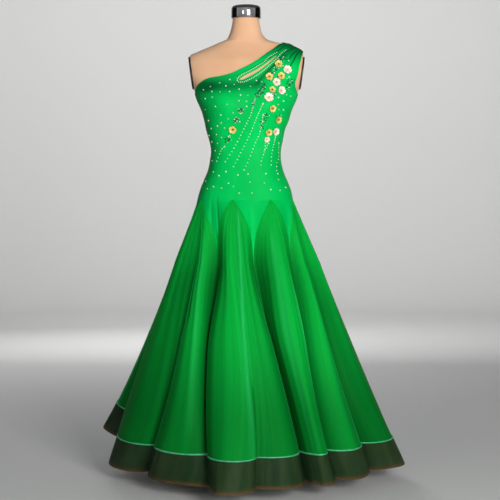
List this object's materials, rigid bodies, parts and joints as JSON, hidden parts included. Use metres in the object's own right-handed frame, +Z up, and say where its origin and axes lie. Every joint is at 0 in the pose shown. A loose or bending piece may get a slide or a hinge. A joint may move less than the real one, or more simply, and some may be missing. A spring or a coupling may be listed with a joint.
{
  "type": "ballroom dance dress on a limbless dress form",
  "caption": "one-shouldered dance dress: keyhole slit bodice with pointed lower edge, flared sheer godets, corded hem with a stiff band, appliqued flowers, on a headless stand",
  "frame": {"origin": "middle of the flat underside of the stand's round base", "axes": "front of the dress faces -Y, +X is the wearer's left, +Z is up; metres"},
  "size_m": [0.9725, 0.9259, 1.5054],
  "materials": {
    "bodice_cloth": "bright satin stretch cloth, emerald green",
    "skirt_sheer": "several layers of crisp sheer cloth, green, brighter on crests",
    "hem_cord": "rolled turquoise green edge",
    "hem_band": "stiff translucent braid, dark olive with lighter streaks",
    "white_petals": "white cloth petals with gold centres",
    "gold_petals": "gold and green lustrous cloth petals",
    "form_cover": "matte beige jersey",
    "chrome": "polished chrome",
    "dark_plate": "dark glossy plastic"
  },
  "bodies": {
    "root": {"bodice_front": "bodice_cloth", "bodice_back": "bodice_cloth", "godet_1": "skirt_sheer", "godet_2": "skirt_sheer", "godet_3": "skirt_sheer", "godet_4": "skirt_sheer", "godet_5": "skirt_sheer", "godet_6": "skirt_sheer", "godet_7": "skirt_sheer", "godet_8": "skirt_sheer", "hem_cord_1": "hem_cord", "hem_cord_2": "hem_cord", "hem_cord_3": "hem_cord", "hem_cord_4": "hem_cord", "hem_cord_5": "hem_cord", "hem_cord_6": "hem_cord", "hem_cord_7": "hem_cord", "hem_cord_8": "hem_cord", "hem_band_1": "hem_band", "hem_band_2": "hem_band", "hem_band_3": "hem_band", "hem_band_4": "hem_band", "hem_band_5": "hem_band", "hem_band_6": "hem_band", "hem_band_7": "hem_band", "hem_band_8": "hem_band", "flower_white_1": "white_petals", "flower_white_2": "white_petals", "flower_white_3": "white_petals", "flower_white_4": "white_petals", "flower_white_5": "white_petals", "flower_white_6": "white_petals", "flower_gold_1": "gold_petals", "flower_gold_2": "gold_petals", "flower_gold_3": "gold_petals", "flower_gold_4": "gold_petals", "flower_gold_5": "gold_petals", "flower_gold_6": "gold_petals", "flower_gold_7": "gold_petals", "flower_gold_8": "gold_petals", "form_torso": "form_cover", "form_neck_cap": "chrome", "form_arm_plate_left": "dark_plate", "form_arm_plate_right": "dark_plate", "stand_pole": "chrome", "stand_base": "chrome"}
  },
  "joints": []
}
